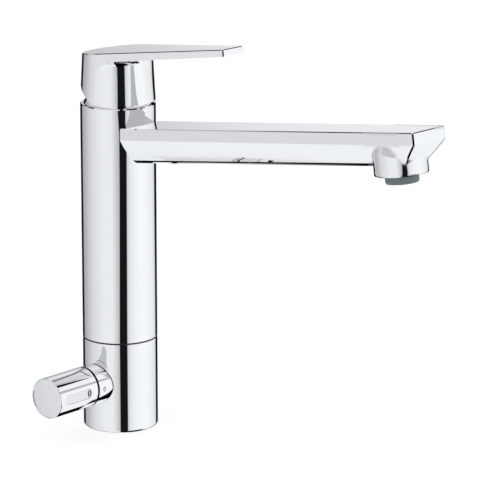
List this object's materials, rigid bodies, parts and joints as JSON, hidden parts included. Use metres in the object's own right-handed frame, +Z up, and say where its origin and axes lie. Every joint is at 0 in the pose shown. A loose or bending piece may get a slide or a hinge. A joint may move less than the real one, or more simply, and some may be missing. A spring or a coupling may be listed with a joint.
{
  "type": "mixer tap",
  "caption": "Kitchen mixer tap with a lever on top of a round column, a swivelling straight spout with an aerator, and a side valve with a turning grip on the base.",
  "frame": {"origin": "centre of the base's underside, on the worktop", "axes": "+Z up along the column, +X along the spout at rest, the side valve towards -Y"},
  "size_m": [0.2722, 0.0887, 0.2512],
  "materials": {
    "chrome": "polished plating",
    "chrome_inner": "bright",
    "brass": "machined",
    "aerator_grey": "satin",
    "plastic_pale": "satin",
    "plastic_dark": "satin",
    "ceramic": "ground and lapped",
    "rubber": "matt",
    "plug_grey": "gloss"
  },
  "bodies": {
    "tap_base": {"base_body": "chrome", "base_seal": "rubber", "lower_slide_ring": "plastic_dark", "upper_slide_ring": "plastic_dark", "inner_core": "brass", "lower_spout_seal": "rubber", "upper_spout_seal": "rubber", "swivel_stop_pin": "chrome_inner", "cartridge_base": "plastic_pale", "cartridge_port_seals": "rubber", "cartridge_housing": "plastic_pale", "fixed_ceramic_disc": "ceramic", "cartridge_nut": "brass", "cover_cap": "chrome", "valve_body": "chrome_inner", "valve_body_seal": "rubber", "valve_seat_seal": "rubber", "valve_fixed_disc": "ceramic"},
    "swivel_spout": {"spout": "chrome", "aerator_seal": "rubber", "aerator_housing": "aerator_grey", "aerator_jet_disc": "plastic_pale", "aerator_straightener": "plastic_pale"},
    "turret": {"stem_guide": "plastic_pale", "pivot_pin": "chrome_inner"},
    "disc_slider": {"disc_carrier": "plastic_pale", "moving_ceramic_disc": "ceramic"},
    "lever_handle": {"lever": "chrome", "lever_stem": "brass", "lever_set_screw": "chrome_inner", "lever_plug": "plug_grey"},
    "valve_handle": {"valve_moving_disc": "ceramic", "valve_spindle": "brass", "valve_spindle_seal": "rubber", "valve_clip": "chrome_inner", "valve_grip": "chrome", "valve_grip_screw": "chrome_inner", "valve_grip_cap": "chrome"}
  },
  "joints": [
    {"name": "spout_swivel", "type": "hinge", "parent": "tap_base", "child": "swivel_spout", "pos_m": [0, 0, 0.131], "axis": [0, 0, 1], "range_deg": [-70, 70]},
    {"name": "lever_turn", "type": "hinge", "parent": "tap_base", "child": "turret", "pos_m": [0, 0, 0.1965], "axis": [0, 0, 1], "range_deg": [-50, 50]},
    {"name": "lever_lift", "type": "hinge", "parent": "turret", "child": "lever_handle", "pos_m": [0, 0, 0.1965], "axis": [0, -1, 0], "range_deg": [0, 25]},
    {"name": "disc_slide", "type": "slide", "parent": "turret", "child": "disc_slider", "axis": [1, 0, 0], "range_m": [0, 0.00302]},
    {"name": "valve_turn", "type": "hinge", "parent": "tap_base", "child": "valve_handle", "pos_m": [0, 0, 0.0303], "axis": [0.0349, -0.9994, 0], "range_deg": [0, 90]}
  ],
  "couplings": [
    {"joint": "disc_slide", "follows": "lever_lift", "m_per_rad": 0.0069}
  ]
}
